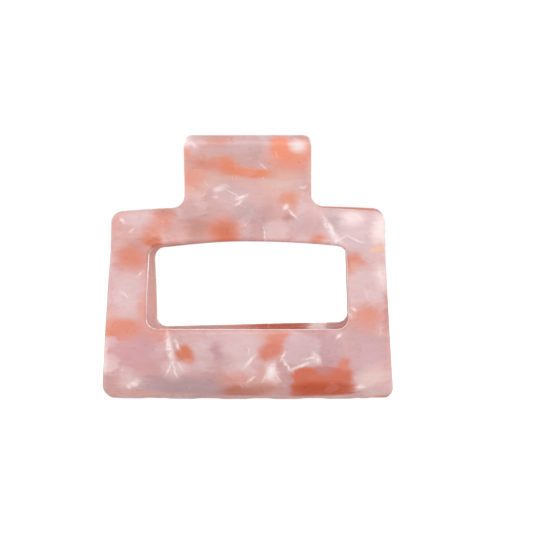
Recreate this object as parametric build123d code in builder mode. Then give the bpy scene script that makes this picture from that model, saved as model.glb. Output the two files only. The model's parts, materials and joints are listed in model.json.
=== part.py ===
"""A spring hair claw: two bent plates with thumb tabs and teeth, joined by a metal spring hinge.

Millimetres. +Z is up, towards the thumb tabs; X runs along the hinge pin; the front jaw is at -Y.
The origin is under the middle of the closed clip, on the surface that its teeth stand on.
Depths are measured outward from the middle plane, so on the front jaw a depth d is at y = -d.
"""

import os
from math import cos, radians, sin

from build123d import *

# Plate, the same for both jaws
SHEET = 3.6  # thickness of the plate
HALF = SHEET / 2
BOW_RADIUS = 140.0  # how gently the plate is bowed from side to side
BOW_SWEEP = 28.0  # degrees of bow, enough for the full width
EDGE_ROUND = 0.9  # polished edges

# Side view of the plate, walked along its middle surface from the waist up to the tab and down to the teeth
WAIST_DEPTH = 6.4
WAIST_HEIGHT = 7.6  # the flat length that carries the hinge plate
BEND_RADIUS = 8.0  # above and below the waist
TAB_FLARE = 30.0  # degrees that the thumb tab leans outward
TAB_STRAIGHT = 8.6
SHOULDER_SLOPE = 42.0  # degrees that the plate leans outward below the waist
BELLY_RADIUS = 24.0
BELLY_TURN = 62.0
CURL_RADIUS = 6.0
CURL_TURN = 90.0 + SHOULDER_SLOPE - BELLY_TURN  # leaves the teeth level
TOOTH_LENGTH = 30.0  # of the blank, before the comb trims it
WAIST_BOTTOM = (
    HALF
    + CURL_RADIUS * (1 - sin(radians(BELLY_TURN - SHOULDER_SLOPE)))
    + BELLY_RADIUS * (sin(radians(SHOULDER_SLOPE)) + sin(radians(BELLY_TURN - SHOULDER_SLOPE)))
    + BEND_RADIUS * sin(radians(SHOULDER_SLOPE))
)
WAIST_TOP = WAIST_BOTTOM + WAIST_HEIGHT

# Front view of the plate
TAB_WIDTH = 26.5
TAB_CORNER = 1.8
TAB_ROOT_FILLET = 2.6
SHOULDER_HEIGHT = 40.3  # at the middle of its shallow arc
SHOULDER_DROP = 1.2  # how much lower its ends are
SHOULDER_WIDTH = 57.45
SHOULDER_CORNER = 2.6
RIM_WIDTH = 60.9
SIDE_HOLLOW = 0.43  # how far the flared sides curve in at half their height
LEFT_CORNER = 2.9  # below the end tooth
RIGHT_CORNER = 2.4  # below the end without a tooth
WINDOW_TOP = 32.9
WINDOW_TOP_DROP = 1.15
WINDOW_BOTTOM = 14.85
WINDOW_TOP_WIDTH = 41.2
WINDOW_BOTTOM_WIDTH = 41.8
WINDOW_CORNER = 2.2
BACK_WINDOW_TRIM = 0.3  # the back jaw's window is this much narrower at each side
BACK_SKEW = 1.4  # degrees that the back jaw's window and shoulders are out of square to its hinge

# Comb of teeth, in the top view
TEETH = 5
TOOTH_PITCH = 10.8
TOOTH_ROOT_WIDTH = 5.4
TOOTH_TIP_WIDTH = 3.2
TOOTH_TIP_ROUND = 1.2
GAP_ROOT_DEPTH = 8.6  # at the middle of the bow, behind the curl
GAP_ROOT_ROUND = 2.0
TIP_REACH = 5.5  # how far the tips pass the middle plane

# Hinge plates, let into the waists
HINGE_HEIGHT = WAIST_BOTTOM + WAIST_HEIGHT / 2
PLATE_WIDTH = 22.0
PLATE_HEIGHT = 7.0
PLATE_CORNER = 1.5
PLATE_THICKNESS = 0.8
PLATE_SEAT = 4.8  # depth of the flat floor that the plate lies on
RECESS_CLEAR = 0.15  # around the plate
EAR_POSITIONS = (-6.2, 5.1)  # on the front plate; the back one is the same part, turned round
EAR_THICKNESS = 0.8
EAR_RADIUS = 2.8
PIN_HOLE_RADIUS = 1.05

# Pin, from its peened left end to its formed right head
PIN_RADIUS = 1.0
PIN_SHANK_LEFT = -6.75
PIN_SHANK_RIGHT = 6.6
PEEN_RADIUS = 1.5
PEEN_LENGTH = 0.6
PIN_HEAD_RADIUS = 1.7
PIN_HEAD_LENGTH = 0.8
PIN_EDGE = 0.25

# Blind rivets
RIVET_SPACING = 17.6
RIVET_RADIUS = 0.85
RIVET_DEPTH = 2.4
RIVET_HEAD_RADIUS = 1.5
RIVET_HEAD_HEIGHT = 0.7

# Torsion spring round the pin
WIRE_RADIUS = 0.45
COIL_RADIUS = 2.1  # to the middle of the wire
COIL_PITCH = 0.98
COIL_TURNS = 7.376  # from one leg to the other
LEG_LENGTH = 4.1
LEG_ANGLE = 22.3  # degrees that each leg leans from upright towards its plate

CLEAR = 25.0  # cutters start and stop this far away
COMB_HEIGHT = 8.0  # the comb's cutter stays below the rim


def plate_face(side):
    """The outer (side 1) or inner (side -1) face in the side view, measured from the bow's axis."""
    offset = side * HALF
    depth = BOW_RADIUS + WAIST_DEPTH + offset
    tab_bend = JernArc((depth, WAIST_TOP), (0, 1), BEND_RADIUS - offset, -TAB_FLARE)
    tab = PolarLine(tab_bend @ 1, TAB_STRAIGHT, direction=tab_bend % 1)
    Line((depth, WAIST_TOP), (depth, WAIST_BOTTOM))
    bend = JernArc((depth, WAIST_BOTTOM), (0, -1), BEND_RADIUS - offset, SHOULDER_SLOPE)
    belly = JernArc(bend @ 1, bend % 1, BELLY_RADIUS + offset, -BELLY_TURN)
    curl = JernArc(belly @ 1, belly % 1, CURL_RADIUS + offset, -CURL_TURN)
    tooth = PolarLine(curl @ 1, TOOTH_LENGTH, direction=curl % 1)
    return tab @ 1, tooth @ 1


def bow_plane():
    """The side view's plane, turned to one end of the bow. Its x axis is the distance from the bow's axis."""
    turn = radians(-BOW_SWEEP / 2)
    outward = (sin(turn), -cos(turn), 0)
    return Plane(origin=(0, BOW_RADIUS, 0), x_dir=outward, z_dir=(-cos(turn), -sin(turn), 0))


def front_view(skew):
    """The front view's plane, in front of everything and turned by skew degrees about the hinge."""
    turn = radians(skew)
    return Plane(
        origin=(HINGE_HEIGHT * sin(turn), -CLEAR, HINGE_HEIGHT * (1 - cos(turn))),
        x_dir=(cos(turn), 0, sin(turn)),
        z_dir=(0, -1, 0),
    )


def half_width(height):
    """Half the plate's width at a height, on its flared and slightly hollow sides."""
    share = height / (SHOULDER_HEIGHT - SHOULDER_DROP)
    return (RIM_WIDTH + share * (SHOULDER_WIDTH - RIM_WIDTH)) / 2 - 4 * SIDE_HOLLOW * share * (1 - share)


def bow_drop(x):
    """How much closer to the middle plane the bowed plate is at x than at its middle."""
    return x * x / (2 * BOW_RADIUS)


def sharp_edges(part):
    """Edges where two faces meet at an angle, so not the seams between tangent faces."""
    found = ShapeList()
    for edge in part.edges():
        normals = [face.normal_at(edge @ 0.5) for face in part.faces() if edge in face.edges()]
        if len(normals) == 2 and normals[0].get_angle(normals[1]) > 15:
            found.append(edge)
    return found


def shape_jaw(jaw, skew, trim):
    """Shapes a jaw at the front, in its open builder: the bent and bowed blank, then its cuts, then its seat.

    Its window and its shoulders are turned by skew degrees about the hinge, and trim narrows the window.
    """
    with BuildSketch(bow_plane()) as side_view:
        with BuildLine():
            outer_ends = plate_face(1)
            inner_ends = plate_face(-1)
            for a, b in zip(outer_ends, inner_ends):
                Line(a, b)
        make_face()
    revolve(side_view.sketch, axis=Axis((0, BOW_RADIUS, 0), (0, 0, 1)), revolution_arc=BOW_SWEEP)

    # Outline in the front view
    tilt = SHOULDER_WIDTH / 2 * sin(radians(skew))
    left_end = SHOULDER_HEIGHT - SHOULDER_DROP - tilt
    right_end = SHOULDER_HEIGHT - SHOULDER_DROP + tilt
    middle = SHOULDER_HEIGHT / 2
    with BuildSketch(front_view(0)) as outline:
        with BuildLine():
            ThreePointArc(
                (half_width(right_end), right_end),
                (half_width(middle), middle),
                (half_width(RIGHT_CORNER), RIGHT_CORNER),
            )
            RadiusArc(
                (half_width(RIGHT_CORNER), RIGHT_CORNER),
                (half_width(RIGHT_CORNER) - RIGHT_CORNER, 0),
                RIGHT_CORNER,
            )
            Polyline(
                (half_width(RIGHT_CORNER) - RIGHT_CORNER, 0),
                (half_width(RIGHT_CORNER) - RIGHT_CORNER, -CLEAR),
                (LEFT_CORNER - half_width(LEFT_CORNER), -CLEAR),
                (LEFT_CORNER - half_width(LEFT_CORNER), 0),
            )
            RadiusArc(
                (LEFT_CORNER - half_width(LEFT_CORNER), 0),
                (-half_width(LEFT_CORNER), LEFT_CORNER),
                LEFT_CORNER,
            )
            ThreePointArc(
                (-half_width(LEFT_CORNER), LEFT_CORNER),
                (-half_width(middle), middle),
                (-half_width(left_end), left_end),
            )
            ThreePointArc(
                (half_width(right_end), right_end),
                (0, SHOULDER_HEIGHT),
                (-half_width(left_end), left_end),
            )
        make_face()
        fillet(outline.vertices().sort_by(Axis.Y)[-2:], SHOULDER_CORNER)
        with Locations((0, SHOULDER_HEIGHT)):
            Rectangle(TAB_WIDTH, 2 * CLEAR)
        tab_corners = outline.vertices().filter_by(lambda v: abs(abs(v.X) - TAB_WIDTH / 2) < 0.1)
        fillet(tab_corners.sort_by(Axis.Y)[:2], TAB_ROOT_FILLET)
    extrude(outline.sketch, amount=-3 * CLEAR, mode=Mode.INTERSECT)

    # Window
    window_end = WINDOW_TOP - WINDOW_TOP_DROP
    top_half = WINDOW_TOP_WIDTH / 2 - trim
    bottom_half = WINDOW_BOTTOM_WIDTH / 2 - trim
    with BuildSketch(front_view(skew)) as window:
        with BuildLine():
            Polyline(
                (-top_half, window_end),
                (-bottom_half, WINDOW_BOTTOM),
                (bottom_half, WINDOW_BOTTOM),
                (top_half, window_end),
            )
            ThreePointArc((top_half, window_end), (0, WINDOW_TOP), (-top_half, window_end))
        make_face()
        fillet(window.vertices(), WINDOW_CORNER)
    extrude(window.sketch, amount=-CLEAR, mode=Mode.SUBTRACT)

    # Comb: everything behind the gaps' roots is cut away, except the teeth
    with BuildSketch(Plane.XY.offset(-CLEAR)) as comb:
        with Locations((0, BOW_RADIUS)):
            Circle(BOW_RADIUS + GAP_ROOT_DEPTH)
        with Locations((0, CLEAR / 2)):
            Rectangle(RIM_WIDTH + 4, 2 * CLEAR, mode=Mode.INTERSECT)
        for index in range(TEETH):
            x = TOOTH_PITCH * (index - (TEETH - 0.5) / 2)
            root = GAP_ROOT_DEPTH + 2 - bow_drop(x)
            with BuildLine():
                Polyline(
                    (x - TOOTH_ROOT_WIDTH / 2, -root),
                    (x - TOOTH_TIP_WIDTH / 2, TIP_REACH),
                    (x + TOOTH_TIP_WIDTH / 2, TIP_REACH),
                    (x + TOOTH_ROOT_WIDTH / 2, -root),
                    close=True,
                )
            make_face(mode=Mode.SUBTRACT)
        tips = comb.vertices().filter_by_position(Axis.Y, TIP_REACH - 0.1, TIP_REACH + 0.1)
        fillet(tips, TOOTH_TIP_ROUND)
        roots = comb.vertices().filter_by(lambda v: abs(v.X) < RIM_WIDTH / 2 and v.Y < -5)
        fillet(roots, GAP_ROOT_ROUND)
    extrude(comb.sketch, amount=CLEAR + COMB_HEIGHT, mode=Mode.SUBTRACT)

    # Rounded corners of the tab, then the polished edges
    fillet(jaw.edges().filter_by(lambda e: e.length < 4 and e.center().Z > WAIST_TOP + 8), TAB_CORNER)
    fillet(sharp_edges(jaw.part), EDGE_ROUND)

    # Flat recess and blind holes for the hinge plate
    with BuildSketch(Plane.XZ.offset(PLATE_SEAT)) as recess:
        with Locations((0, HINGE_HEIGHT)):
            RectangleRounded(
                PLATE_WIDTH + 2 * RECESS_CLEAR, PLATE_HEIGHT + 2 * RECESS_CLEAR, PLATE_CORNER + RECESS_CLEAR
            )
    extrude(recess.sketch, amount=-PLATE_SEAT, mode=Mode.SUBTRACT)
    with BuildSketch(Plane.XZ.offset(PLATE_SEAT)) as holes:
        with Locations((-RIVET_SPACING / 2, HINGE_HEIGHT), (RIVET_SPACING / 2, HINGE_HEIGHT)):
            Circle(RIVET_RADIUS)
    extrude(holes.sketch, amount=RIVET_DEPTH - PLATE_THICKNESS, mode=Mode.SUBTRACT)


with BuildPart() as front_jaw:
    shape_jaw(front_jaw, 0, 0)

# Back jaw: the same plate cut slightly differently and out of square, and turned half round
with BuildPart() as back_jaw_unturned:
    shape_jaw(back_jaw_unturned, -BACK_SKEW, BACK_WINDOW_TRIM)
with BuildPart() as back_jaw:
    add(back_jaw_unturned.part, rotation=(0, 0, 180))

# Front hinge plate: a flat plate with two ears for the pin
with BuildPart() as front_hinge_plate:
    with BuildSketch(Plane.XZ.offset(PLATE_SEAT)):
        with Locations((0, HINGE_HEIGHT)):
            RectangleRounded(PLATE_WIDTH, PLATE_HEIGHT, PLATE_CORNER)
        with Locations((-RIVET_SPACING / 2, HINGE_HEIGHT), (RIVET_SPACING / 2, HINGE_HEIGHT)):
            Circle(RIVET_RADIUS, mode=Mode.SUBTRACT)
    extrude(amount=-PLATE_THICKNESS)
    for ear in EAR_POSITIONS:
        with BuildSketch(Plane.YZ.offset(ear)):
            with Locations((0, HINGE_HEIGHT)):
                Circle(EAR_RADIUS)
            with Locations((-PLATE_SEAT / 2, HINGE_HEIGHT)):
                Rectangle(PLATE_SEAT, 2 * EAR_RADIUS)
            with Locations((0, HINGE_HEIGHT)):
                Circle(PIN_HOLE_RADIUS, mode=Mode.SUBTRACT)
        extrude(amount=EAR_THICKNESS / 2, both=True)

# Back hinge plate: the same part, turned half round
with BuildPart() as back_hinge_plate:
    add(front_hinge_plate.part, rotation=(0, 0, 180))

# Hinge pin
with BuildPart() as hinge_pin:
    with BuildSketch(Plane.YZ.offset(PIN_SHANK_LEFT)):
        with Locations((0, HINGE_HEIGHT)):
            Circle(PIN_RADIUS)
    extrude(amount=PIN_SHANK_RIGHT - PIN_SHANK_LEFT)
    with BuildSketch(Plane.YZ.offset(PIN_SHANK_RIGHT)):
        with Locations((0, HINGE_HEIGHT)):
            Circle(PIN_HEAD_RADIUS)
    extrude(amount=PIN_HEAD_LENGTH)
    fillet(hinge_pin.edges().sort_by(Axis.X)[-1], PIN_EDGE)
    with BuildSketch(Plane.YZ.offset(PIN_SHANK_LEFT)):
        with Locations((0, HINGE_HEIGHT)):
            Circle(PEEN_RADIUS)
    extrude(amount=-PEEN_LENGTH)
    fillet(hinge_pin.edges().sort_by(Axis.X)[0], PIN_EDGE)

# Torsion spring: a right-hand coil, with a leg against each plate. It starts at the back plate's leg.
coil_length = COIL_PITCH * COIL_TURNS
start_angle = radians(-LEG_ANGLE)
coil_start = Plane(
    origin=(coil_length / 2, 0, HINGE_HEIGHT),
    x_dir=(0, cos(start_angle), sin(start_angle)),
    z_dir=(-1, 0, 0),
)
with BuildLine() as wire:
    coil = Helix(COIL_PITCH, coil_length, COIL_RADIUS)
    Line((coil @ 0) - (coil % 0) * LEG_LENGTH, coil @ 0)
    Line(coil @ 1, (coil @ 1) + (coil % 1) * LEG_LENGTH)
spring_path = coil_start.from_local_coords(wire.wire())
with BuildPart() as torsion_spring:
    with BuildSketch(Plane(origin=spring_path @ 0, z_dir=spring_path % 0)):
        Circle(WIRE_RADIUS)
    sweep(path=spring_path, is_frenet=True)

# Rivets: one at the front on the left, then copies of it
with BuildPart() as front_rivet_left:
    with BuildSketch(Plane.XZ.offset(PLATE_SEAT - PLATE_THICKNESS)):
        with Locations((-RIVET_SPACING / 2, HINGE_HEIGHT)):
            Circle(RIVET_RADIUS)
    extrude(amount=RIVET_DEPTH)
    with BuildSketch(Plane.XZ.offset(PLATE_SEAT - PLATE_THICKNESS)):
        with Locations((-RIVET_SPACING / 2, HINGE_HEIGHT)):
            Circle(RIVET_HEAD_RADIUS)
    extrude(amount=-RIVET_HEAD_HEIGHT)
    fillet(front_rivet_left.edges().sort_by(Axis.Y)[-1], RIVET_HEAD_HEIGHT * 0.8)
with BuildPart() as front_rivet_right:
    with Locations((RIVET_SPACING, 0, 0)):
        add(front_rivet_left.part)
with BuildPart() as back_rivet_left:
    add(front_rivet_right.part, rotation=(0, 0, 180))
with BuildPart() as back_rivet_right:
    add(front_rivet_left.part, rotation=(0, 0, 180))

front_jaw.part.label = "front_jaw"
back_jaw.part.label = "back_jaw"
front_hinge_plate.part.label = "front_hinge_plate"
back_hinge_plate.part.label = "back_hinge_plate"
hinge_pin.part.label = "hinge_pin"
torsion_spring.part.label = "torsion_spring"
front_rivet_left.part.label = "front_rivet_left"
front_rivet_right.part.label = "front_rivet_right"
back_rivet_left.part.label = "back_rivet_left"
back_rivet_right.part.label = "back_rivet_right"

os.makedirs("parts", exist_ok=True)
export_step(front_jaw.part, "parts/front_jaw.step")
export_step(back_jaw.part, "parts/back_jaw.step")
export_step(front_hinge_plate.part, "parts/front_hinge_plate.step")
export_step(back_hinge_plate.part, "parts/back_hinge_plate.step")
export_step(hinge_pin.part, "parts/hinge_pin.step")
export_step(torsion_spring.part, "parts/torsion_spring.step")
export_step(front_rivet_left.part, "parts/front_rivet_left.step")
export_step(front_rivet_right.part, "parts/front_rivet_right.step")
export_step(back_rivet_left.part, "parts/back_rivet_left.step")
export_step(back_rivet_right.part, "parts/back_rivet_right.step")
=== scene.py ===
"""A marbled acetate claw clip on a pale floor: materials, spring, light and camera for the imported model."""

import json
from math import cos, radians, sin, tau

import bpy
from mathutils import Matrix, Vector


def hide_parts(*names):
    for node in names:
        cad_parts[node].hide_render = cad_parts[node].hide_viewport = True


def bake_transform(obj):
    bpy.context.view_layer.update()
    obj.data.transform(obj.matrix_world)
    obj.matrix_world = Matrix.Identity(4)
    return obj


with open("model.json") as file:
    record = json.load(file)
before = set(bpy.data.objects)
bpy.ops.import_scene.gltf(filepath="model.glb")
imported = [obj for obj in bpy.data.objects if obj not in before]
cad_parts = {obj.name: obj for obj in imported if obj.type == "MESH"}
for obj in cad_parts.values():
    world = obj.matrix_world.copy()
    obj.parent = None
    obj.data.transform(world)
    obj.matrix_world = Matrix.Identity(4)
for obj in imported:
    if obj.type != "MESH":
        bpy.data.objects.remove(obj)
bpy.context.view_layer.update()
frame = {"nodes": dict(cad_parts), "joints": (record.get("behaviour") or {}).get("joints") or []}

MM = 0.001
PER_METRE = 1000.0  # millimetres
JOINT = frame["joints"][0]
HINGE = Vector(JOINT["pos_m"])


def add_object(name, data):
    """A new object in the scene that shows data."""
    made = bpy.data.objects.new(name, data)
    bpy.context.scene.collection.objects.link(made)
    return made


def aim(thing, direction):
    """Turns a light or camera to look along direction."""
    thing.rotation_mode = "QUATERNION"
    thing.rotation_quaternion = direction.to_track_quat("-Z", "Y")


# ---------------------------------------------------------------- colours


GLOSS = 0.035  # what the polished surface adds to a colour by reflecting the white room


def srgb(red, green, blue):
    """The linear RGBA under the gloss of a colour that looks like these 0 to 255 display values."""
    channels = [c / 255 for c in (red, green, blue)]
    linear = [c / 12.92 if c <= 0.04045 else ((c + 0.055) / 1.055) ** 2.4 for c in channels]
    return (*(max(c - GLOSS, 0.0) for c in linear), 1.0)


MAUVE = srgb(213, 171, 170)
PINK = srgb(228, 180, 173)
PALE = srgb(232, 203, 204)
LILAC = srgb(217, 186, 190)
# WHITE is pale pearl, and also the colour of the painted highlights and glints
WHITE = srgb(255, 240, 238)
GREYED = srgb(196, 158, 160)
PEACH = srgb(240, 196, 184)
BLUSH = srgb(228, 163, 150)
SALMON = srgb(230, 150, 127)
APRICOT = srgb(250, 165, 133)
ORANGE = srgb(216, 122, 90)
EMBER = srgb(243, 155, 122)
DEEP = srgb(202, 92, 58)
RUST = srgb(205, 148, 132)


# ---------------------------------------------------------------- node helpers


MIDDLE = (0.5, 0.5, 0.5)  # the mean of a noise or of a cell's colour
MIX_A, MIX_B, MIX_RESULT = 6, 7, 2  # the mix node's colour sockets, whose names its other kinds share


class Graph:
    """Short ways to add shader nodes to a tree."""

    def __init__(self, tree):
        self.tree = tree

    def node(self, kind, inputs=None, **settings):
        made = self.tree.nodes.new(kind)
        for key, value in settings.items():
            setattr(made, key, value)
        for key, value in (inputs or {}).items():
            self.feed(made.inputs[key], value)
        return made

    def feed(self, socket, value):
        if isinstance(value, bpy.types.NodeSocket):
            self.tree.links.new(value, socket)
        else:
            socket.default_value = value

    def math(self, operation, a, b=0.0):
        return self.node("ShaderNodeMath", {0: a, 1: b}, operation=operation).outputs[0]

    def vector(self, operation, a, b=(0, 0, 0)):
        return self.node("ShaderNodeVectorMath", {0: a, 1: b}, operation=operation).outputs[0]

    def scaled(self, a, factor):
        return self.node("ShaderNodeVectorMath", {0: a, "Scale": factor}, operation="SCALE").outputs[0]

    def mix(self, factor, a, b, blend="MIX"):
        """A blend of two colours."""
        sockets = {0: factor, MIX_A: a, MIX_B: b}
        return self.node("ShaderNodeMix", sockets, data_type="RGBA", blend_type=blend).outputs[MIX_RESULT]

    def ramp(self, value, start, end, low=0.0, high=1.0):
        """A smooth step of value from low at start to high at end."""
        made = self.node(
            "ShaderNodeMapRange",
            {0: value, 1: start, 2: end, 3: low, 4: high},
            interpolation_type="SMOOTHSTEP",
        )
        return made.outputs[0]

    def noise(self, vector, scale, detail=2.0, roughness=0.5, output="Fac"):
        made = self.node(
            "ShaderNodeTexNoise",
            {"Vector": vector, "Scale": scale, "Detail": detail, "Roughness": roughness},
        )
        return made.outputs[output]

    def offset(self, vector, scale):
        """A noise in all three directions, from -0.5 to 0.5, to bend a pattern with."""
        return self.vector("SUBTRACT", self.noise(vector, scale, 1.0, output="Color"), MIDDLE)

    def shade(self, inputs):
        """The tree's surface, a Principled shader with these inputs."""
        shader = self.node("ShaderNodeBsdfPrincipled", inputs)
        self.node("ShaderNodeOutputMaterial", {"Surface": shader.outputs[0]})


def blank_material(name):
    """A material with an empty tree, and the graph that fills it."""
    material = bpy.data.materials.new(name)
    material.use_nodes = True
    material.node_tree.nodes.clear()
    return material, Graph(material.node_tree)


def patch_group():
    """A node group that paints one soft-edged patch over a colour.

    The patch is an ellipse at a power of 2, and nears a block as the power rises.
    """
    group = bpy.data.node_groups.new("patch", "ShaderNodeTree")
    kinds = {
        "Color": ("Colour", "Paint"),
        "Vector": ("Place", "Centre", "Size", "Powers"),
        "Float": ("Angle", "Soft", "Power", "Strength"),
    }
    for kind, names in kinds.items():
        for name in names:
            group.interface.new_socket(name, in_out="INPUT", socket_type=f"NodeSocket{kind}")
    group.interface.new_socket("Colour", in_out="OUTPUT", socket_type="NodeSocketColor")
    g = Graph(group)
    given = g.node("NodeGroupInput").outputs
    local = g.vector("SUBTRACT", given["Place"], given["Centre"])
    turned = g.node(
        "ShaderNodeVectorRotate", {"Vector": local, "Angle": given["Angle"]}, rotation_type="Z_AXIS"
    ).outputs[0]
    unit = g.vector("ABSOLUTE", g.vector("DIVIDE", turned, given["Size"]))
    raised = g.vector("POWER", unit, given["Powers"])
    total = g.node(
        "ShaderNodeVectorMath", {0: raised, 1: (1, 1, 0)}, operation="DOT_PRODUCT"
    ).outputs["Value"]
    distance = g.math("POWER", total, g.math("DIVIDE", 1.0, given["Power"]))
    outer = g.math("ADD", 1.0, given["Soft"])
    inner = g.math("SUBTRACT", 1.0, given["Soft"])
    mask = g.math("MULTIPLY", g.ramp(distance, outer, inner), given["Strength"])
    g.node("NodeGroupOutput", {"Colour": g.mix(mask, given["Colour"], given["Paint"])})
    return group


PATCH = patch_group()


def paint(g, colour, place, patches):
    """Paints patches over a colour in order, each laid out as FRONT_PATCHES says."""
    for across, up, half_width, half_height, degrees, soft, power, strength, paint_colour in patches:
        made = g.node("ShaderNodeGroup", node_tree=PATCH)
        settings = {
            "Colour": colour,
            "Place": place,
            "Centre": (across, up, 0),
            "Size": (half_width, half_height, 1),
            "Angle": -radians(degrees),
            "Soft": soft,
            "Powers": (power, power, power),
            "Power": power,
            "Strength": strength,
            "Paint": paint_colour,
        }
        for key, value in settings.items():
            g.feed(made.inputs[key], value)
        colour = made.outputs[0]
    return colour
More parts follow.
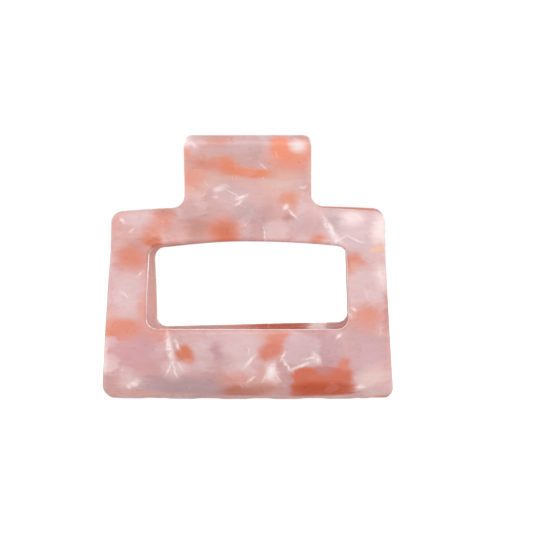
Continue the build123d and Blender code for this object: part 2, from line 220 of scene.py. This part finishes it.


# ---------------------------------------------------------------- acetate

# Marbling of the front jaw, with painted highlights at some corners and edges, in millimetres across and up
# its face, as seen from the front.
# Each is (across, up, half width, half height, degrees, softness, power, strength, colour).
FRONT_PATCHES = [
    # thumb tab
    (-8.0, 47.5, 7.0, 5.5, 0, 0.9, 2, 0.75, PEACH),
    (2.0, 44.6, 9.0, 3.0, 0, 0.9, 2, 0.75, PEACH),
    (-1.0, 52.4, 5.2, 1.9, 0, 0.8, 2, 0.8, srgb(224, 196, 197)),
    # painted highlight: a pale glow and a white spot at the tab's upper left corner
    (-11.2, 53.2, 2.2, 1.6, 0, 0.7, 2, 0.9, PALE),
    (-12.6, 53.6, 0.9, 1.2, 0, 0.9, 2, 0.8, WHITE),
    (8.1, 45.7, 4.4, 2.6, 0, 0.8, 2, 0.9, srgb(236, 204, 198)),
    (9.6, 50.8, 4.6, 3.3, 6, 0.9, 2.2, 0.8, APRICOT),
    (7.0, 52.4, 2.0, 2.4, 0, 0.45, 3, 0.9, APRICOT),
    # painted highlight at the tab's upper right corner
    (10.7, 52.6, 1.5, 1.2, -20, 0.8, 2, 0.95, WHITE),
    (-5.8, 54.2, 2.6, 1.4, 0, 0.6, 2, 0.7, BLUSH),
    (-7.6, 49.0, 3.4, 1.2, -4, 0.9, 2, 0.8, SALMON),
    (-3.9, 48.5, 2.3, 1.8, -40, 0.7, 2, 0.95, EMBER),
    (0.9, 47.2, 4.4, 1.0, -3, 0.5, 3, 0.95, EMBER),
    (-12.6, 51.4, 1.1, 0.9, -30, 0.9, 2, 0.6, APRICOT),
    (-11.8, 45.8, 2.6, 2.4, 0, 0.9, 2, 0.5, APRICOT),
    (-7.6, 42.3, 1.4, 1.2, 0, 0.9, 2, 0.6, RUST),
    (-2.5, 42.7, 4.8, 2.5, -8, 0.7, 2.6, 0.8, srgb(222, 192, 196)),
    (8.6, 41.9, 1.9, 1.4, -10, 0.8, 2, 0.9, srgb(232, 152, 118)),
    (9.4, 40.1, 0.7, 1.2, 10, 0.8, 2, 0.6, SALMON),
    # top bar
    (-22.8, 37.9, 3.8, 1.8, 0, 0.6, 2, 0.9, PALE),
    (-17.4, 38.9, 2.2, 1.1, -4, 0.7, 2, 0.85, RUST),
    (-18.0, 36.8, 1.9, 2.0, 10, 0.8, 2, 0.8, SALMON),
    (-20.1, 33.9, 2.0, 2.6, 20, 0.6, 2, 0.9, SALMON),
    (-19.3, 32.4, 1.5, 1.1, 0, 0.6, 2, 0.8, ORANGE),
    (-10.0, 35.8, 2.8, 2.2, 0, 0.8, 2, 0.8, RUST),
    (-4.9, 35.2, 3.2, 2.5, 20, 0.6, 2, 0.9, SALMON),
    (-4.9, 34.6, 2.2, 2.1, 30, 0.8, 2, 0.95, ORANGE),
    (0.3, 38.6, 3.4, 1.6, 0, 0.8, 2, 0.6, GREYED),
    (6.0, 35.2, 2.7, 1.9, 12, 0.3, 3, 0.75, PALE),
    (8.6, 37.7, 1.3, 0.6, 0, 0.8, 2, 0.8, RUST),
    (14.5, 33.4, 1.4, 0.9, 0, 0.7, 2, 0.9, SALMON),
    (12.4, 36.2, 3.0, 1.9, 0, 0.8, 2, 0.5, LILAC),
    (22.6, 35.6, 6.4, 4.6, -10, 0.25, 4, 0.95, srgb(232, 205, 207)),
    (17.8, 37.0, 2.2, 1.8, -30, 0.9, 2, 0.7, srgb(208, 180, 183)),
    # painted highlights: a white glow in the top right pearl and a white band down the right edge
    (21.7, 37.5, 2.1, 1.4, 10, 0.9, 2, 0.85, WHITE),
    (27.8, 35.4, 1.5, 3.2, 0, 0.9, 2, 0.9, WHITE),
    (27.2, 31.5, 1.7, 0.6, 12, 0.6, 2, 0.9, srgb(250, 208, 184)),
    # left bar
    (-24.4, 29.4, 3.0, 2.7, -25, 0.7, 2, 0.9, SALMON),
    (-24.6, 22.0, 3.2, 4.5, 0, 0.6, 3, 0.95, PALE),
    (-21.5, 18.6, 1.1, 2.8, 0, 0.8, 2, 0.8, BLUSH),
    (-25.7, 14.6, 3.8, 2.2, 0, 0.4, 3, 0.95, SALMON),
    (-18.6, 13.6, 2.6, 1.8, 0, 0.5, 3, 0.8, BLUSH),
    (-28.3, 12.0, 1.5, 1.2, -30, 0.5, 2, 0.9, PALE),
    (-28.4, 7.6, 1.5, 2.1, -40, 0.3, 3, 0.9, srgb(242, 218, 216)),
    # painted highlight along the rounded left rim
    (-29.4, 9.4, 0.5, 2.6, -3, 0.8, 3, 0.7, WHITE),
    # pale pearl with a painted highlight at the lower left
    (-24.0, 3.4, 2.4, 1.5, 20, 0.8, 2.4, 0.9, srgb(244, 222, 220)),
    # bottom bar
    (-22.5, 9.6, 5.4, 3.2, 0, 0.8, 2, 0.75, srgb(221, 172, 180)),
    (-14.0, 3.0, 9.0, 2.1, 0, 0.6, 3, 0.8, srgb(194, 165, 171)),
    (-15.3, 6.6, 2.3, 1.8, 0, 0.7, 2, 0.9, PALE),
    (-8.6, 11.0, 5.4, 3.2, 0, 0.8, 2, 0.75, srgb(224, 196, 199)),
    (-6.2, 10.3, 1.1, 2.0, 15, 0.7, 2, 0.8, srgb(205, 158, 168)),
    (-12.8, 9.9, 1.75, 1.8, 25, 0.35, 2.6, 0.95, srgb(222, 136, 106)),
    (-12.1, 8.2, 1.2, 0.7, 0, 0.5, 2, 0.8, BLUSH),
    (-0.6, 11.0, 3.4, 4.2, 0, 0.6, 2.6, 0.85, srgb(230, 204, 207)),
    (6.8, 12.8, 2.2, 2.0, 10, 0.5, 2.6, 0.9, SALMON),
    (4.7, 10.6, 2.5, 1.5, 25, 0.45, 2.6, 0.9, srgb(226, 140, 120)),
    (5.1, 6.0, 1.0, 1.7, 10, 0.9, 2, 0.75, WHITE),
    (17.2, 10.6, 2.4, 3.4, 0, 0.6, 3, 0.85, srgb(212, 170, 176)),
    (25.0, 8.4, 3.8, 4.8, 0, 0.9, 2, 0.75, srgb(224, 191, 198)),
    (11.2, 10.6, 3.8, 3.4, -14, 0.15, 3.2, 0.9, srgb(224, 194, 198)),
    (-2.5, 4.4, 3.4, 1.4, 0, 0.8, 2, 0.7, BLUSH),
    (-0.8, 1.8, 4.6, 1.4, 0, 0.5, 3, 0.9, srgb(200, 124, 102)),
    (3.0, 2.6, 3.4, 1.0, 4, 0.7, 2, 0.7, RUST),
    (15.6, 3.0, 6.6, 4.1, -1, 0.12, 6, 0.95, srgb(220, 124, 96)),
    (15.7, 1.6, 6.3, 2.1, -1, 0.4, 5, 0.95, DEEP),
    (16.0, 6.5, 1.9, 1.1, -10, 0.5, 2, 0.8, srgb(210, 148, 146)),
    (20.2, 7.7, 1.4, 1.3, 30, 0.5, 2, 0.9, SALMON),
    (25.4, 4.6, 3.0, 1.9, 40, 0.9, 2, 0.9, srgb(244, 220, 212)),
    # painted highlight at the lower right
    (23.6, 2.5, 0.9, 0.7, 0, 0.8, 2, 0.9, WHITE),
    # right bar
    (22.2, 28.3, 2.4, 2.1, 20, 0.5, 2.5, 0.85, SALMON),
    (25.2, 23.8, 3.7, 4.3, 8, 0.5, 3, 0.95, PALE),
    (27.4, 25.6, 1.0, 2.4, 10, 0.9, 2, 0.6, WHITE),
    (25.2, 16.9, 3.4, 2.9, 0, 0.7, 2, 0.85, BLUSH),
    (24.9, 17.8, 1.6, 1.3, 0, 0.8, 2, 0.7, SALMON),
    (29.0, 18.4, 0.7, 3.6, -4, 0.7, 3, 0.8, srgb(206, 146, 142)),
]

# Marbling of the back jaw, with one patch of painted light, laid out the same way, as seen from its own
# outside.
BACK_PATCHES = [
    (9.5, 14.4, 8.0, 2.2, 0, 0.4, 4, 0.9, srgb(218, 178, 174)),
    (-6.5, 14.2, 5.2, 1.8, 0, 0.4, 4, 0.95, srgb(204, 118, 96)),
    (-15.4, 14.0, 2.6, 1.8, 20, 0.3, 3, 0.95, WHITE),
    (-19.0, 15.2, 2.2, 2.4, 0, 0.5, 3, 0.9, srgb(210, 170, 168)),
    # painted light: a near-white patch that lightens the shaded inside band seen through the front jaw's
    # window, standing in for light coming through the sheet
    (20.6, 24.0, 3.0, 9.0, 0, 0.6, 4, 0.95, srgb(248, 218, 210)),
    (-21.5, 39.2, 5.4, 1.8, 2, 0.4, 4, 0.95, srgb(224, 152, 133)),
    (-1.6, 46.6, 4.2, 2.4, 20, 0.8, 2.4, 0.8, PALE),
    (-17.0, 34.4, 4.0, 2.6, -15, 0.5, 2.6, 0.85, srgb(234, 208, 209)),
    (24.0, 11.4, 3.6, 4.4, 0, 0.5, 3, 0.85, srgb(232, 205, 207)),
    (3.4, 8.4, 3.4, 3.0, 20, 0.5, 2.6, 0.75, PALE),
]

# Painted highlights (glints) along creases in each jaw's pearl, (across, up, half length, half thickness,
# degrees, strength).
BACK_CREASE_GLINTS = [
    (-2.6, 48.9, 1.3, 0.3, -30, 0.9),
    (-1.2, 47.6, 0.9, 0.2, 40, 0.8),
    (7.8, 44.4, 1.2, 0.2, 65, 0.8),
    (-16.8, 36.2, 2.1, 0.4, 50, 0.95),
    (-14.9, 34.9, 1.0, 0.2, -20, 0.8),
    (11.6, 37.0, 1.6, 0.25, -60, 0.85),
    (25.4, 30.8, 1.1, 0.3, 30, 0.8),
    (-25.6, 24.0, 1.6, 0.25, -65, 0.9),
    (24.6, 13.0, 1.9, 0.4, 70, 0.95),
    (-18.4, 8.6, 2.0, 0.35, -40, 0.95),
    (-16.2, 7.4, 1.1, 0.2, 60, 0.8),
    (3.6, 10.2, 1.6, 0.3, -75, 0.9),
    (12.4, 5.2, 1.8, 0.35, 35, 0.9),
]

FRONT_CREASE_GLINTS = [
    (-5.9, 43.9, 1.0, 0.45, 20, 0.8),
    (-6.7, 42.2, 0.6, 0.22, 5, 0.9),
    (-1.2, 42.1, 1.1, 0.3, 25, 1.0),
    (-1.9, 40.9, 0.9, 0.16, 35, 0.8),
    (-3.2, 43.0, 1.8, 0.12, -28, 0.7),
    (-4.6, 44.6, 0.7, 0.22, -20, 0.6),
    (3.2, 48.6, 1.0, 0.12, -42, 0.6),
    (-11.2, 53.0, 1.0, 0.35, -40, 0.7),
    (7.9, 40.1, 0.6, 0.4, 30, 0.9),
    (9.3, 38.6, 1.3, 0.13, -45, 0.9),
    (11.5, 44.2, 0.6, 0.25, 10, 0.7),
    (3.5, 34.4, 1.5, 0.14, -80, 0.7),
    (17.3, 35.3, 2.7, 0.5, -57, 1.0),
    (19.0, 33.2, 1.3, 0.22, 30, 0.8),
    (22.4, 33.4, 1.6, 0.16, -22, 0.8),
    (23.4, 37.8, 0.9, 0.2, -60, 0.8),
    (17.9, 32.0, 0.6, 0.14, -50, 0.8),
    (-26.3, 37.3, 0.7, 0.25, -50, 0.9),
    (-24.3, 35.3, 0.5, 0.25, 40, 0.6),
    (-25.3, 21.9, 0.9, 0.15, -35, 0.8),
    (-22.4, 26.2, 0.7, 0.2, 40, 0.7),
    (-15.9, 11.0, 2.4, 0.5, -80, 1.0),
    (-14.3, 11.7, 1.1, 0.24, -62, 0.95),
    (-14.9, 6.6, 1.4, 0.16, -75, 0.9),
    (-16.1, 6.9, 1.3, 0.16, 65, 0.8),
    (-13.9, 7.4, 0.9, 0.14, -50, 0.8),
    (-23.6, 3.4, 1.2, 0.5, 35, 0.95),
    (-24.6, 2.0, 0.6, 0.25, -70, 0.8),
    (0.6, 8.4, 1.4, 0.22, 48, 0.95),
    (0.4, 10.4, 0.6, 0.16, 80, 0.6),
    (1.0, 4.6, 1.0, 0.2, 38, 0.7),
    (5.0, 6.4, 1.6, 0.5, 70, 1.0),
    (6.2, 5.2, 1.0, 0.16, -60, 0.8),
    (3.8, 5.0, 1.0, 0.2, 50, 0.7),
    (8.2, 7.5, 1.6, 0.22, -52, 0.9),
    (7.4, 9.4, 1.0, 0.18, 60, 0.8),
    (11.0, 7.3, 1.9, 0.22, 22, 0.95),
    (14.3, 8.9, 1.2, 0.5, -55, 1.0),
    (12.8, 8.9, 1.0, 0.16, 10, 0.8),
    (18.9, 13.4, 0.7, 0.25, 42, 0.9),
    (21.0, 18.1, 0.6, 0.22, -45, 0.8),
    (22.0, 19.0, 0.6, 0.14, -30, 0.7),
    (23.5, 2.6, 0.5, 0.4, 0, 0.9),
]


# Scales below are in features per millimetre, and distances in millimetres.
BELLY_DEPTH = 12.0  # depth at which the belly faces straight out, where the curl below it begins
CURL_FROM, CURL_TO = 10.0, 5.0  # heights between which the curl takes over
DEPTH_SHARE = 0.5  # how much depth counts beside height and width in the noises
SEED_STEP = (31.7, 17.3, 11.9)  # how far apart two jaws read the same noises
BROAD_SCALE, BROAD_BEND = 0.16, 1.4
FINE_SCALE, FINE_BEND, CREASE_GLINT_BEND, CELL_BEND = 0.7, 0.35, 0.8, 0.6
STREAK_STRETCH, STREAK_BEND = (0.16, 0.9, 0.8), (1.9, 0.4, 0.0)
CLOUD_BEND = 2.0  # how much more than the listed patches the clouds are bent
CLOUD_SCALE, PEARL_SCALE = 0.11, 0.14
PEARL_SHIFT, ORANGE_SHIFT = (7.0, 3.0, 5.0), (31.0, 12.0, 4.0)  # keep the clouds apart
VEIL_STRETCH, DRAWN_STRETCH = (0.12, 1.2, 1.0), (0.1, 2.4, 1.2)
CELL_SCALE, BROKEN_SCALE, DIM_SCALE, POLISH_SCALE = 0.34, 0.6, 1.4, 0.5

# Where each noise starts to count and where it is full, and then how much of its colour it brings
PINK_FROM_TO = (0.36, 0.62)
PEARL_FROM_TO, PEARL_AMOUNT = (0.5, 0.62), 0.7
SALMON_FROM_TO, SALMON_AMOUNT = (0.53, 0.62), 0.85
ORANGE_FROM_TO, ORANGE_AMOUNT = (0.62, 0.7), 0.9
VEIL_FROM_TO, VEIL_AMOUNT = (0.55, 0.75), 0.35
DRAWN_FROM_TO, DRAWN_AMOUNT, DRAWN_DEPTH = (0.3, 0.7), 0.22, 0.5
# painted sheen of the pearl flakes, lighter or darker cell by cell
FLAKE_SHEEN_FROM_TO, FLAKE_SHEEN_AMOUNT = (0.4, 0.6), 0.16
# painted highlights along the creases between pearl cells
CREASE_GLINT_FROM_TO, CREASE_GLINT_AMOUNT = (0.46, 0.6), 0.5
BROKEN_FROM_TO = (0.56, 0.7)
DIM_FROM_TO, DIM_TO_FULL = (0.32, 0.55), (0.45, 1.0)
POLISH_FROM_TO, ROUGHNESS = (0.3, 0.7), (0.26, 0.4)

CREASE_GLINT_WIDTH = 0.06  # of a pearl cell
GLINT_WIDEN, GLINT_SOFT, GLINT_POWER = 1.15, 0.95, 2  # how the listed creases are painted
LEAN = 0.16  # how far a flake turns its reflection
ACETATE_IOR = 1.48


def acetate(name, turned, seed, orange_scale, orange_heights, patches, crease_glints):
    """Polished pearl acetate marbled with orange. The marbling goes through the sheet and follows its curl.

    A turned jaw reads the pattern half round about Z. Under the listed patches lies procedural orange, which
    fades in from the first of orange_heights down to the second.
    """
    material, g = blank_material(name)
    side = -PER_METRE if turned else PER_METRE

    # Millimetres across (right as seen from outside), depth outward, and up
    metres = g.node("ShaderNodeTexCoord").outputs["Object"]
    point = g.vector("MULTIPLY", metres, (side, -side, PER_METRE))
    axes = g.node("ShaderNodeSeparateXYZ", {0: point}).outputs
    curl = g.math("MAXIMUM", g.math("SUBTRACT", BELLY_DEPTH, axes[1]), 0.0)
    below = g.ramp(axes[2], CURL_FROM, CURL_TO)
    up = g.math("SUBTRACT", axes[2], g.math("MULTIPLY", curl, below))
    depth = g.math("MULTIPLY", axes[1], DEPTH_SHARE)
    flat = g.node("ShaderNodeCombineXYZ", {0: axes[0], 1: up, 2: 0.0}).outputs[0]
    solid = g.node("ShaderNodeCombineXYZ", {0: axes[0], 1: up, 2: depth}).outputs[0]
    field = g.vector("ADD", solid, tuple(seed * step for step in SEED_STEP))

    # Flow of the sheet: broad bends, level streaks that pull edges sideways, and fine ripples
    broad = g.offset(field, BROAD_SCALE)
    fine = g.offset(field, FINE_SCALE)
    streak = g.offset(g.vector("MULTIPLY", field, STREAK_STRETCH), 1.0)
    pulled = g.vector("MULTIPLY", streak, STREAK_BEND)
    warp = g.vector("ADD", g.vector("ADD", g.scaled(broad, BROAD_BEND), g.scaled(fine, FINE_BEND)), pulled)
    place = g.vector("ADD", flat, warp)
    bent = g.vector("ADD", field, g.scaled(warp, CLOUD_BEND))

    # Base: mauve and pink clouds with pale pearl
    clouds = g.noise(bent, CLOUD_SCALE, 2.0)
    colour = g.mix(g.ramp(clouds, *PINK_FROM_TO), MAUVE, PINK)
    pearl_cloud = g.noise(g.vector("ADD", bent, PEARL_SHIFT), PEARL_SCALE, 1.0)
    pearl = g.ramp(pearl_cloud, *PEARL_FROM_TO)
    colour = g.mix(g.math("MULTIPLY", pearl, PEARL_AMOUNT), colour, PALE)

    # Procedural orange, each cloud salmon round a deeper middle
    orange_cloud = g.noise(g.vector("ADD", bent, ORANGE_SHIFT), orange_scale, 1.5)
    away = g.ramp(up, *orange_heights)
    salmon_mask = g.math("MULTIPLY", g.ramp(orange_cloud, *SALMON_FROM_TO), away)
    orange_mask = g.math("MULTIPLY", g.ramp(orange_cloud, *ORANGE_FROM_TO), away)
    colour = g.mix(g.math("MULTIPLY", salmon_mask, SALMON_AMOUNT), colour, SALMON)
    colour = g.mix(g.math("MULTIPLY", orange_mask, ORANGE_AMOUNT), colour, ORANGE)

    # Pale level veils, then the listed patches over them
    veil = g.noise(g.vector("MULTIPLY", bent, VEIL_STRETCH), 1.0, 1.0)
    colour = g.mix(g.ramp(veil, *VEIL_FROM_TO, 0.0, VEIL_AMOUNT), colour, PALE)
    colour = paint(g, colour, place, patches)

    # Fine striations, drawn out along the sheet
    drawn = g.noise(g.vector("MULTIPLY", bent, DRAWN_STRETCH), 1.0, 2.0)
    deeper = g.mix(DRAWN_DEPTH, colour, PINK, "MULTIPLY")
    colour = g.mix(g.ramp(drawn, *DRAWN_FROM_TO, 0.0, DRAWN_AMOUNT), colour, deeper)

    # Pearl flakes: each cell's colour painted a little lighter or darker, a painted sheen, with painted
    # highlights along broken creases between them
    crushed = g.vector("ADD", field, g.scaled(fine, CELL_BEND))
    cells = {"Vector": crushed, "Scale": CELL_SCALE}
    cell = g.node("ShaderNodeTexVoronoi", cells, voronoi_dimensions="2D", feature="F1")
    cell_tone = g.node("ShaderNodeSeparateXYZ", {0: cell.outputs["Color"]}).outputs[0]
    lift = g.ramp(cell_tone, 0.0, 1.0, -0.5, 0.5)
    flake_sheen = g.math("MULTIPLY", g.ramp(pearl_cloud, *FLAKE_SHEEN_FROM_TO), FLAKE_SHEEN_AMOUNT)
    colour = g.mix(g.math("MULTIPLY", g.math("MAXIMUM", lift, 0.0), flake_sheen), colour, WHITE)
    dark = g.math("MULTIPLY", g.math("MAXIMUM", g.math("MULTIPLY", lift, -1.0), 0.0), flake_sheen)
    colour = g.mix(dark, colour, GREYED)
    # painted highlights: white lines along the cell edges, broken up here and there
    edge = g.node("ShaderNodeTexVoronoi", cells, voronoi_dimensions="2D", feature="DISTANCE_TO_EDGE")
    crease_glint = g.ramp(edge.outputs["Distance"], CREASE_GLINT_WIDTH, 0.0)
    broken = g.ramp(g.noise(field, BROKEN_SCALE, 2.0), *BROKEN_FROM_TO)
    crease_glint = g.math("MULTIPLY", g.math("MULTIPLY", crease_glint, broken), g.ramp(pearl_cloud, *CREASE_GLINT_FROM_TO))
    colour = g.mix(g.math("MULTIPLY", crease_glint, CREASE_GLINT_AMOUNT), colour, WHITE)

    # Listed painted highlights along creases, in a less bent place so that they stay crisp, and dimmed here
    # and there
    near = g.vector("ADD", flat, g.scaled(fine, CREASE_GLINT_BEND))
    glints = [
        (x, y, length, thickness * GLINT_WIDEN, degrees, GLINT_SOFT, GLINT_POWER, strength, WHITE)
        for x, y, length, thickness, degrees, strength in crease_glints
    ]
    lit = paint(g, colour, near, glints)
    dimmed = g.ramp(g.noise(field, DIM_SCALE, 1.0), *DIM_FROM_TO, *DIM_TO_FULL)
    colour = g.mix(dimmed, colour, lit)

    # Gloss: flakes lean their reflections a little under a smooth clear surface
    normal = g.node("ShaderNodeNewGeometry").outputs["Normal"]
    lean = g.vector("SUBTRACT", cell.outputs["Color"], MIDDLE)
    leaned = g.vector("NORMALIZE", g.vector("ADD", normal, g.scaled(lean, LEAN)))
    rough = g.ramp(g.noise(field, POLISH_SCALE, 3.0), *POLISH_FROM_TO, *ROUGHNESS)
    g.shade(
        {
            "Base Color": colour,
            "Roughness": rough,
            "IOR": ACETATE_IOR,
            "Normal": leaned,
            "Subsurface Weight": 0.6,
            "Subsurface Radius": (1.0, 0.55, 0.45),
            "Subsurface Scale": 2.4 * MM,
            "Coat Weight": 0.4,
            "Coat Roughness": 0.12,
            "Coat IOR": ACETATE_IOR,
        }
    )
    return material


# ---------------------------------------------------------------- metals


GRAIN_ALONG = 0.6  # features per millimetre along the drawn lines
TARNISH_SCALE, TARNISH_SHADE, TARNISH_AMOUNT = 0.5, 0.62, 0.6
TARNISH_DULLS = 0.12  # roughness that the tarnish adds
RELIEF = 0.02 * MM


def metal(name, tint, grain, roughness, bump):
    """Plated steel: drawn lines along X, about grain of them to a millimetre, and soft clouds of tarnish."""
    material, g = blank_material(name)
    metres = g.node("ShaderNodeTexCoord").outputs["Object"]
    point = g.scaled(metres, PER_METRE)
    lines = g.noise(g.vector("MULTIPLY", point, (GRAIN_ALONG, grain, grain)), 1.0, 3.0, 0.6)
    clouds = g.noise(point, TARNISH_SCALE, 3.0)
    dulled = tuple(channel * TARNISH_SHADE for channel in tint[:3]) + (1.0,)
    colour = g.mix(g.ramp(clouds, 0.35, 0.75, 0.0, TARNISH_AMOUNT), tint, dulled)
    rough = g.math(
        "ADD", g.ramp(lines, 0.3, 0.7, *roughness), g.ramp(clouds, 0.4, 0.8, 0.0, TARNISH_DULLS)
    )
    relief = g.node("ShaderNodeBump", {"Strength": bump, "Distance": RELIEF, "Height": lines})
    g.shade({"Base Color": colour, "Metallic": 1.0, "Roughness": rough, "Normal": relief.outputs[0]})
    return material


SHARP_NODE = radians(30)  # edges bent further than this stay sharp


def dress(node, material):
    """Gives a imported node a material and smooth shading."""
    shape = frame["nodes"][node]
    shape.data.materials.clear()
    shape.data.materials.append(material)
    shape.data.shade_smooth()
    shape.data.set_sharp_from_angle(angle=SHARP_NODE)


# The front jaw's face is all listed patches, so its procedural orange starts under the curl, on the teeth.
# The back jaw has it from top to bottom.
FRONT_ACETATE = acetate(
    "acetate_front",
    turned=False,
    seed=0.0,
    orange_scale=0.13,
    orange_heights=(-1.5, -4.5),
    patches=FRONT_PATCHES,
    crease_glints=FRONT_CREASE_GLINTS,
)
BACK_ACETATE = acetate(
    "acetate_back",
    turned=True,
    seed=3.0,
    orange_scale=0.09,
    orange_heights=(80.0, 70.0),
    patches=BACK_PATCHES,
    crease_glints=BACK_CREASE_GLINTS,
)
NICKEL = (0.74, 0.72, 0.69, 1.0)
STEEL = (0.60, 0.59, 0.57, 1.0)
PLATE_METAL = metal("nickel_plate", NICKEL, grain=14.0, roughness=(0.2, 0.38), bump=0.35)
RIVET_METAL = metal("nickel_rivet", NICKEL, grain=5.0, roughness=(0.16, 0.28), bump=0.2)
WIRE_METAL = metal("spring_wire", STEEL, grain=9.0, roughness=(0.22, 0.36), bump=0.3)

dress("front_jaw", FRONT_ACETATE)
dress("back_jaw", BACK_ACETATE)
for side_name in ("front", "back"):
    dress(f"{side_name}_hinge_plate", PLATE_METAL)
    for end_name in ("left", "right"):
        dress(f"{side_name}_rivet_{end_name}", RIVET_METAL)
dress("hinge_pin", RIVET_METAL)


# ---------------------------------------------------------------- spring

WIRE_RADIUS = 0.45 * MM
COIL_RADIUS = 2.1 * MM
COIL_PITCH = 0.98 * MM
COIL_TURNS = 7.376
COIL_LENGTH = COIL_PITCH * COIL_TURNS
LEG_LENGTH = 4.1 * MM
LEG_ANGLE = radians(22.3)  # how far each leg leans from upright
LEG_STEPS = 6
STEPS_PER_TURN = 40
WIRE_SIDES = 14
WIRE_TIP = 0.3 * WIRE_RADIUS  # how far the cut ends are rounded
SHARP_WIRE = radians(40)


def spring_line():
    """Points and directions along the wire: the back plate's leg, the coil, the front plate's leg."""
    slope = COIL_PITCH / tau
    steps = round(COIL_TURNS * STEPS_PER_TURN)
    rings = []
    for step in range(steps + 1):
        turn = COIL_TURNS * tau * step / steps
        angle = -LEG_ANGLE - turn
        out, up = COIL_RADIUS * cos(angle), COIL_RADIUS * sin(angle)
        point = HINGE + Vector((COIL_LENGTH / 2 - slope * turn, out, up))
        along = Vector((-slope, up, -out)).normalized()
        rings.append((point, along))
    (first, first_along), (last, last_along) = rings[0], rings[-1]
    reaches = [LEG_LENGTH * k / LEG_STEPS for k in range(1, LEG_STEPS + 1)]
    start = [(first - first_along * reach, first_along) for reach in reversed(reaches)]
    end = [(last + last_along * reach, last_along) for reach in reaches]
    return start + rings + end


def make_spring():
    """A round wire swept along spring_line, with rounded cut ends."""
    line = spring_line()
    (first, first_along), (last, last_along) = line[0], line[-1]
    rings = [
        (first, first_along, WIRE_RADIUS - WIRE_TIP),
        (first + first_along * WIRE_TIP, first_along, WIRE_RADIUS),
        *((point, along, WIRE_RADIUS) for point, along in line[1:-1]),
        (last - last_along * WIRE_TIP, last_along, WIRE_RADIUS),
        (last, last_along, WIRE_RADIUS - WIRE_TIP),
    ]
    vertices, faces = [], []
    for point, along, radius in rings:
        across = Vector((1, 0, 0)) - along * along.x
        across.normalize()
        other = along.cross(across)
        for k in range(WIRE_SIDES):
            turn = tau * k / WIRE_SIDES
            vertices.append(point + (across * cos(turn) + other * sin(turn)) * radius)
    for ring in range(len(rings) - 1):
        for k in range(WIRE_SIDES):
            a = ring * WIRE_SIDES + k
            b = ring * WIRE_SIDES + (k + 1) % WIRE_SIDES
            faces.append((a, b, b + WIRE_SIDES, a + WIRE_SIDES))
    last_ring = (len(rings) - 1) * WIRE_SIDES
    faces.append(tuple(reversed(range(WIRE_SIDES))))
    faces.append(tuple(range(last_ring, last_ring + WIRE_SIDES)))
    mesh = bpy.data.meshes.new("spring")
    mesh.from_pydata([tuple(v) for v in vertices], [], faces)
    mesh.materials.append(WIRE_METAL)
    mesh.shade_smooth()
    mesh.set_sharp_from_angle(angle=SHARP_WIRE)
    return add_object("spring", mesh)


spring = make_spring()
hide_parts("torsion_spring")
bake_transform(spring)


# ---------------------------------------------------------------- stage, light and camera


FLOOR_REACH = 3.0
FLOOR_GREY = 0.35
FLOOR_CAST, FLOOR_SEEN = 0.5, 0.88  # the floor's own glow: on the clip, and to the camera
WORLD_CAST, WORLD_SEEN = 0.76, 1.0

# Softboxes out of the camera's sight: (name, place, width, height, watts)
SOFTBOXES = [
    ("front_box", (0.0, -0.95, 0.18), 2.4, 0.7, 4.95),
    ("back_box", (0.0, 0.95, 0.26), 2.4, 0.7, 4.4),
    ("left_strip", (-0.6, -0.12, 0.24), 0.3, 0.4, 0.3),
    ("right_strip", (0.6, -0.12, 0.24), 0.3, 0.4, 0.3),
]
LIGHT_TARGET = Vector((0, 0, 0.03))  # the middle of the clip

# The camera is almost level and almost square on, a long way off.
CAMERA_AZIMUTH = radians(0.8)
CAMERA_ELEVATION = radians(1.02)
CAMERA_DISTANCE = 0.538
CAMERA_TARGET = Vector((0.0040, -0.014, 0.0278))
CAMERA_LENS = 176.3
SENSOR_WIDTH = 36.0


def make_floor():
    """A plain pale floor under the teeth."""
    mesh = bpy.data.meshes.new("floor")
    corners = [(x * FLOOR_REACH, y * FLOOR_REACH, 0) for x, y in ((-1, -1), (1, -1), (1, 1), (-1, 1))]
    mesh.from_pydata(corners, [], [(0, 1, 2, 3)])
    material = bpy.data.materials.new("floor")
    material.use_nodes = True
    g = Graph(material.node_tree)
    surface = material.node_tree.nodes["Principled BSDF"]
    direct = g.node("ShaderNodeLightPath").outputs["Is Camera Ray"]
    settings = {
        "Base Color": (FLOOR_GREY, FLOOR_GREY, FLOOR_GREY, 1),
        "Roughness": 0.9,
        "Specular IOR Level": 0.0,
        "Emission Color": (1, 1, 1, 1),
        "Emission Strength": g.ramp(direct, 0.0, 1.0, FLOOR_CAST, FLOOR_SEEN),
    }
    for key, value in settings.items():
        g.feed(surface.inputs[key], value)
    mesh.materials.append(material)
    add_object("floor", mesh)


def make_softbox(name, place, width, height, watts):
    """A rectangular light at place, turned towards the clip."""
    data = bpy.data.lights.new(name, "AREA")
    data.shape = "RECTANGLE"
    data.size = width
    data.size_y = height
    data.energy = watts
    light = add_object(name, data)
    light.visible_camera = False
    light.location = place
    aim(light, LIGHT_TARGET - Vector(place))


def make_world():
    """White surroundings, seen as white and casting a little less light than that on the clip."""
    world = bpy.data.worlds.new("studio")
    world.use_nodes = True
    g = Graph(world.node_tree)
    background = world.node_tree.nodes["Background"]
    background.inputs["Color"].default_value = (1, 1, 1, 1)
    direct = g.node("ShaderNodeLightPath").outputs["Is Camera Ray"]
    g.feed(background.inputs["Strength"], g.ramp(direct, 0.0, 1.0, WORLD_CAST, WORLD_SEEN))
    bpy.context.scene.world = world


def make_camera():
    """The scene's camera, looking at CAMERA_TARGET."""
    level = cos(CAMERA_ELEVATION)
    back = Vector((sin(CAMERA_AZIMUTH) * level, -cos(CAMERA_AZIMUTH) * level, sin(CAMERA_ELEVATION)))
    data = bpy.data.cameras.new("camera")
    data.sensor_width = SENSOR_WIDTH
    data.lens = CAMERA_LENS
    data.clip_start = 0.01
    data.clip_end = 50.0
    camera = add_object("camera", data)
    camera.location = CAMERA_TARGET + back * CAMERA_DISTANCE
    aim(camera, -back)
    bpy.context.scene.camera = camera


make_floor()
make_world()
for softbox in SOFTBOXES:
    make_softbox(*softbox)
make_camera()
bpy.context.scene.view_settings.view_transform = "Standard"
